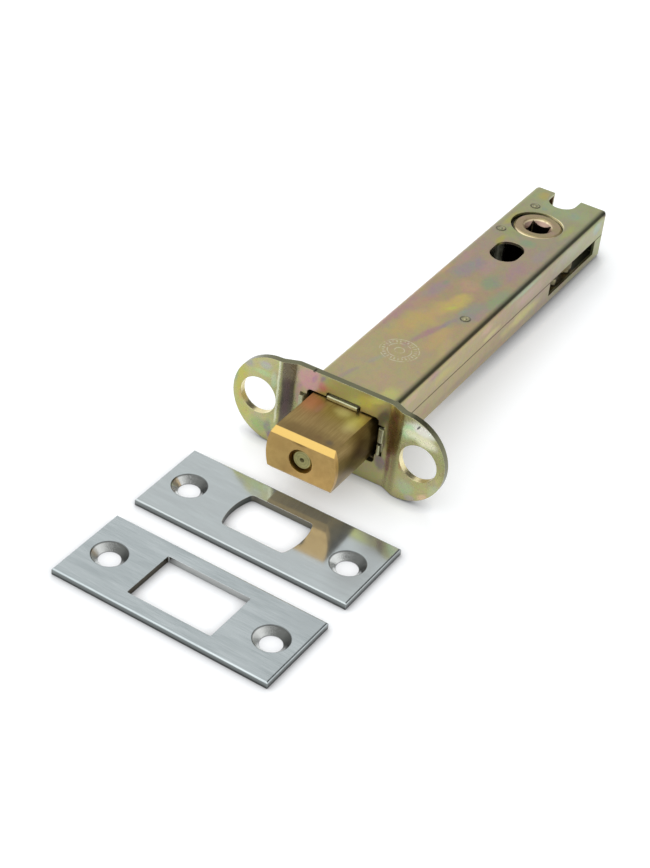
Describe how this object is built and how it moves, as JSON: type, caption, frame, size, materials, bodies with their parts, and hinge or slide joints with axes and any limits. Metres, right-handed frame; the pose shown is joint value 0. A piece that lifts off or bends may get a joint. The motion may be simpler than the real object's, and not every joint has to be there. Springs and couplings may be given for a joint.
{
  "type": "tubular deadbolt",
  "caption": "Tubular deadbolt with a round-ended forend, a brass bolt worked by a turning follower, and a loose face plate and strike plate.",
  "frame": {"origin": "middle of the forend, on the axis of the bolt, in the plane of the ears' front faces", "axes": "+X along the forend, +Y along the bolt into the door, +Z along the axis of the follower"},
  "size_m": [0.0633, 0.209, 0.0282],
  "materials": {
    "passivated_steel": "iridescent yellow passivate on zinc",
    "plated_steel": "zinc plated",
    "spring_steel": "blued",
    "satin_steel": "satin",
    "bolt_brass": "brushed",
    "cast_follower": "cast and yellow passivated"
  },
  "bodies": {
    "case": {"upper_shell": "passivated_steel", "lower_shell": "passivated_steel", "forend_plate": "passivated_steel", "front_post": "plated_steel", "middle_post": "plated_steel", "rear_post": "plated_steel", "friction_spring": "spring_steel", "face_plate": "satin_steel", "strike_plate": "satin_steel"},
    "bolt": {"bolt_head": "bolt_brass", "tie_rivet": "plated_steel", "tie_washer": "plated_steel", "carrier_plate": "plated_steel", "drive_bar": "plated_steel", "bar_rivet_front": "plated_steel", "bar_rivet_rear": "plated_steel", "drive_pin_front": "plated_steel", "drive_pin_middle": "plated_steel", "drive_pin_rear": "plated_steel"},
    "follower": {"follower": "cast_follower"}
  },
  "joints": [
    {"name": "bolt_slide", "type": "slide", "parent": "case", "child": "bolt", "axis": [0, 1, 0], "range_m": [0, 0.01555]},
    {"name": "follower_turn", "type": "hinge", "parent": "case", "child": "follower", "pos_m": [-0.0008, 0.1131, 0], "axis": [0, 0, 1], "range_deg": [0, 90]}
  ],
  "couplings": [
    {"joint": "follower_turn", "follows": "bolt_slide", "rad_per_m": 101.01}
  ]
}
